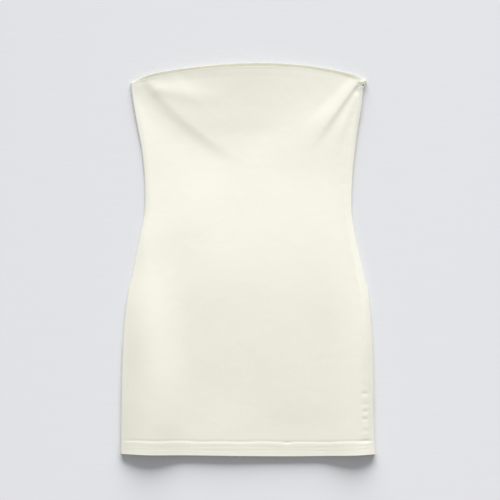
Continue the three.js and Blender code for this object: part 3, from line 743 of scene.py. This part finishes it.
zipYs = np.arange(zipSizes["from"], zipSizes["to"], zipSizes["step"])
tapeHalf = [zipSizes[place] for place in ("outTo", "halfway", "coilHalf")]
tapeColumns = [-offset for offset in tapeHalf] + [0] + tapeHalf[::-1]
tapePoints = np.stack([underSeam(zipYs, offset, zipSizes["tapeDepth"])[0] for offset in tapeColumns], 1)
tapeNormals = np.stack([underSeam(zipYs, offset, 0)[1] for offset in tapeColumns], 1)
zipTapes = closedSheet("zipTapes", tapePoints, tapePoints - tapeNormals * zipSizes["tapeThick"])
zipTapes.data.materials.append(tape)
coilLine, coilUps = underSeam(zipYs, 0, zipSizes["coilDepth"])
zipCoil = rowAlong("zipCoil", [(coilLine, coilUps)], zipTeeth, lacquer)

# A bar of thread beside the hook
threadBar = {"from": (194.9, 311.6), "to": (205.2, 316.9), "steps": 12, "bow": 0.15, "above": 0.1,
             "Pitch": 0.00045, "Length": 0.0009, "Width": 0.0011, "Height": 0.0005, "Sway": 0.06, "Seed": 8}


def onFront(x, y, rounds=5):  # the point of the front's outer face above a place on the floor
    row = y
    for _ in range(rounds):
        row += y - bowedY(sectionsAt([row]), np.array([[x]]), False)[0, 0]
    return upperSurface(sectionsAt([row]), np.array([[x]]))[0, 0]


barLine = []
for k in range(threadBar["steps"] + 1):
    x, y = mix(np.array(threadBar["from"]), np.array(threadBar["to"]), k / threadBar["steps"]) + centre[:2]
    bow = threadBar["bow"] * math.sin(math.pi * k / threadBar["steps"])
    barLine.append(onFront(x, y) + (0, 0, threadBar["above"] + bow))
closureBar = rowAlong("threadBar", [(barLine, [(0, 0, 1)] * len(barLine))], threadBar, thread)

# Thread at the hook, seen through the gap above the zip. The cloth above shades the gap, and the thread's
# near-black colour is painted shade that deepens it
sewnDown = {"at": (206.7, 313.4, 7.3), "lean": 0.15, "half": 1.9, "steps": 6, "Pitch": 0.00042,
            "Length": 0.00062, "Width": 0.0038, "Height": 0.001, "Sway": 0.12, "Seed": 4}
sewnLine = [np.array(sewnDown["at"]) + (sewnDown["lean"] * t, t * sewnDown["half"], 0) + centre
            for t in np.linspace(-1, 1, sewnDown["steps"] + 1)]
# painted shade: these near-black threads darken the gap beyond what its own shade gives
closureThreads = rowAlong("closureThreads", [(sewnLine, [(0, 0, 1)] * len(sewnLine))], sewnDown, paintedShadeThread)

for panel, node in ((frontPanel, "front_panel"), (backPanel, "back_panel")):
    panel.data.materials.append(satin)
    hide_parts(node)
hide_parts("zip")
for piece in (frontPanel, backPanel, zipTapes, zipCoil, hemStitches, closureBar, closureThreads):
    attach(piece, "root")
for node, material in (("zip_slider", lacquer), ("hook", steel), ("eye", steel)):
    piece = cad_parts[node]
    piece.data.materials.clear()
    piece.data.materials.append(material)
print("pieces dressed")

# Floor, light and camera
# The floor's colour is painted darker at the top of the view and lighter at its bottom, a painted light that
# evens out how the light falls off
floorLook = {"size": 8, "below": 0.0002, "color": (0.747, 0.757, 0.778), "fade": (0.872, 1.158),
             "fadeReach": 0.45, "grain": (10, 420, 1), "grainDetail": 2, "grainShade": (0.98, 1.02),
             "rough": 0.85, "specular": 0.2}
studio = {"photoWidth": 0.9, "photoMiddle": (0.0036, 0.0171), "cameraHeight": 3.0, "sensor": 36,
          "keyDistance": 5, "keyElevation": 21, "keyAzimuth": 3, "keyPower": 562, "keySize": (5, 2.86),
          "ambient": 0.332}


def floorMaterial():
    material, tree, surface = newMaterial("paleFloor")
    place, stretch = tree.nodes.new("ShaderNodeTexCoord"), tree.nodes.new("ShaderNodeMapping")
    stretch.inputs["Scale"].default_value = floorLook["grain"]
    grain = tree.nodes.new("ShaderNodeTexNoise")
    grain.inputs["Scale"].default_value, grain.inputs["Detail"].default_value = 1, floorLook["grainDetail"]
    tree.links.new(place.outputs["Object"], stretch.inputs["Vector"])
    tree.links.new(stretch.outputs[0], grain.inputs["Vector"])
    shade, fade = tree.nodes.new("ShaderNodeMapRange"), tree.nodes.new("ShaderNodeMapRange")
    split = tree.nodes.new("ShaderNodeSeparateXYZ")
    shade.inputs["To Min"].default_value, shade.inputs["To Max"].default_value = floorLook["grainShade"]
    # painted light: this ramp darkens the floor near the lamp and lightens it further away
    fade.inputs["From Min"].default_value = floorLook["fadeReach"]
    fade.inputs["From Max"].default_value = -floorLook["fadeReach"]
    fade.inputs["To Min"].default_value, fade.inputs["To Max"].default_value = floorLook["fade"]
    both, tint = tree.nodes.new("ShaderNodeMath"), tree.nodes.new("ShaderNodeVectorMath")
    both.operation, tint.operation = "MULTIPLY", "SCALE"
    tint.inputs[0].default_value = floorLook["color"]
    tree.links.new(grain.outputs["Fac"], shade.inputs["Value"])
    tree.links.new(place.outputs["Object"], split.inputs[0])
    tree.links.new(split.outputs["Y"], fade.inputs["Value"])
    tree.links.new(shade.outputs[0], both.inputs[0])
    tree.links.new(fade.outputs[0], both.inputs[1])
    tree.links.new(both.outputs[0], tint.inputs["Scale"])
    tree.links.new(tint.outputs[0], surface.inputs["Base Color"])
    surface.inputs["Roughness"].default_value = floorLook["rough"]
    surface.inputs["Specular IOR Level"].default_value = floorLook["specular"]
    return material


bpy.ops.mesh.primitive_plane_add(size=floorLook["size"], location=(0, 0, -floorLook["below"]))
floor = bpy.context.object
floor.name = "floor"
floor.data.materials.append(floorMaterial())

world = bpy.data.worlds.new("softRoom")
bpy.context.scene.world = world
world.use_nodes = True
world.node_tree.nodes["Background"].inputs["Color"].default_value = (1, 1, 1, 1)
world.node_tree.nodes["Background"].inputs["Strength"].default_value = studio["ambient"]

elevation, azimuth = (math.radians(studio[k]) for k in ("keyElevation", "keyAzimuth"))
keyPlace = studio["keyDistance"] * Vector((
    math.sin(azimuth) * math.cos(elevation), math.cos(azimuth) * math.cos(elevation), math.sin(elevation)))
keyData = bpy.data.lights.new("softKey", "AREA")
keyData.shape = "RECTANGLE"
keyData.size, keyData.size_y = studio["keySize"]
keyData.energy = studio["keyPower"]
key = bpy.data.objects.new("softKey", keyData)
key.location = keyPlace
key.rotation_euler = (-keyPlace).to_track_quat("-Z", "Y").to_euler()
key.visible_camera = False
bpy.context.scene.collection.objects.link(key)

cameraData = bpy.data.cameras.new("fromAbove")
cameraData.sensor_width = studio["sensor"]
cameraData.lens = studio["sensor"] * studio["cameraHeight"] / studio["photoWidth"]
camera = bpy.data.objects.new("fromAbove", cameraData)
camera.location = (*studio["photoMiddle"], studio["cameraHeight"])
bpy.context.scene.collection.objects.link(camera)
bpy.context.scene.camera = camera
bpy.context.scene.view_settings.view_transform = "Standard"
print("stage set")
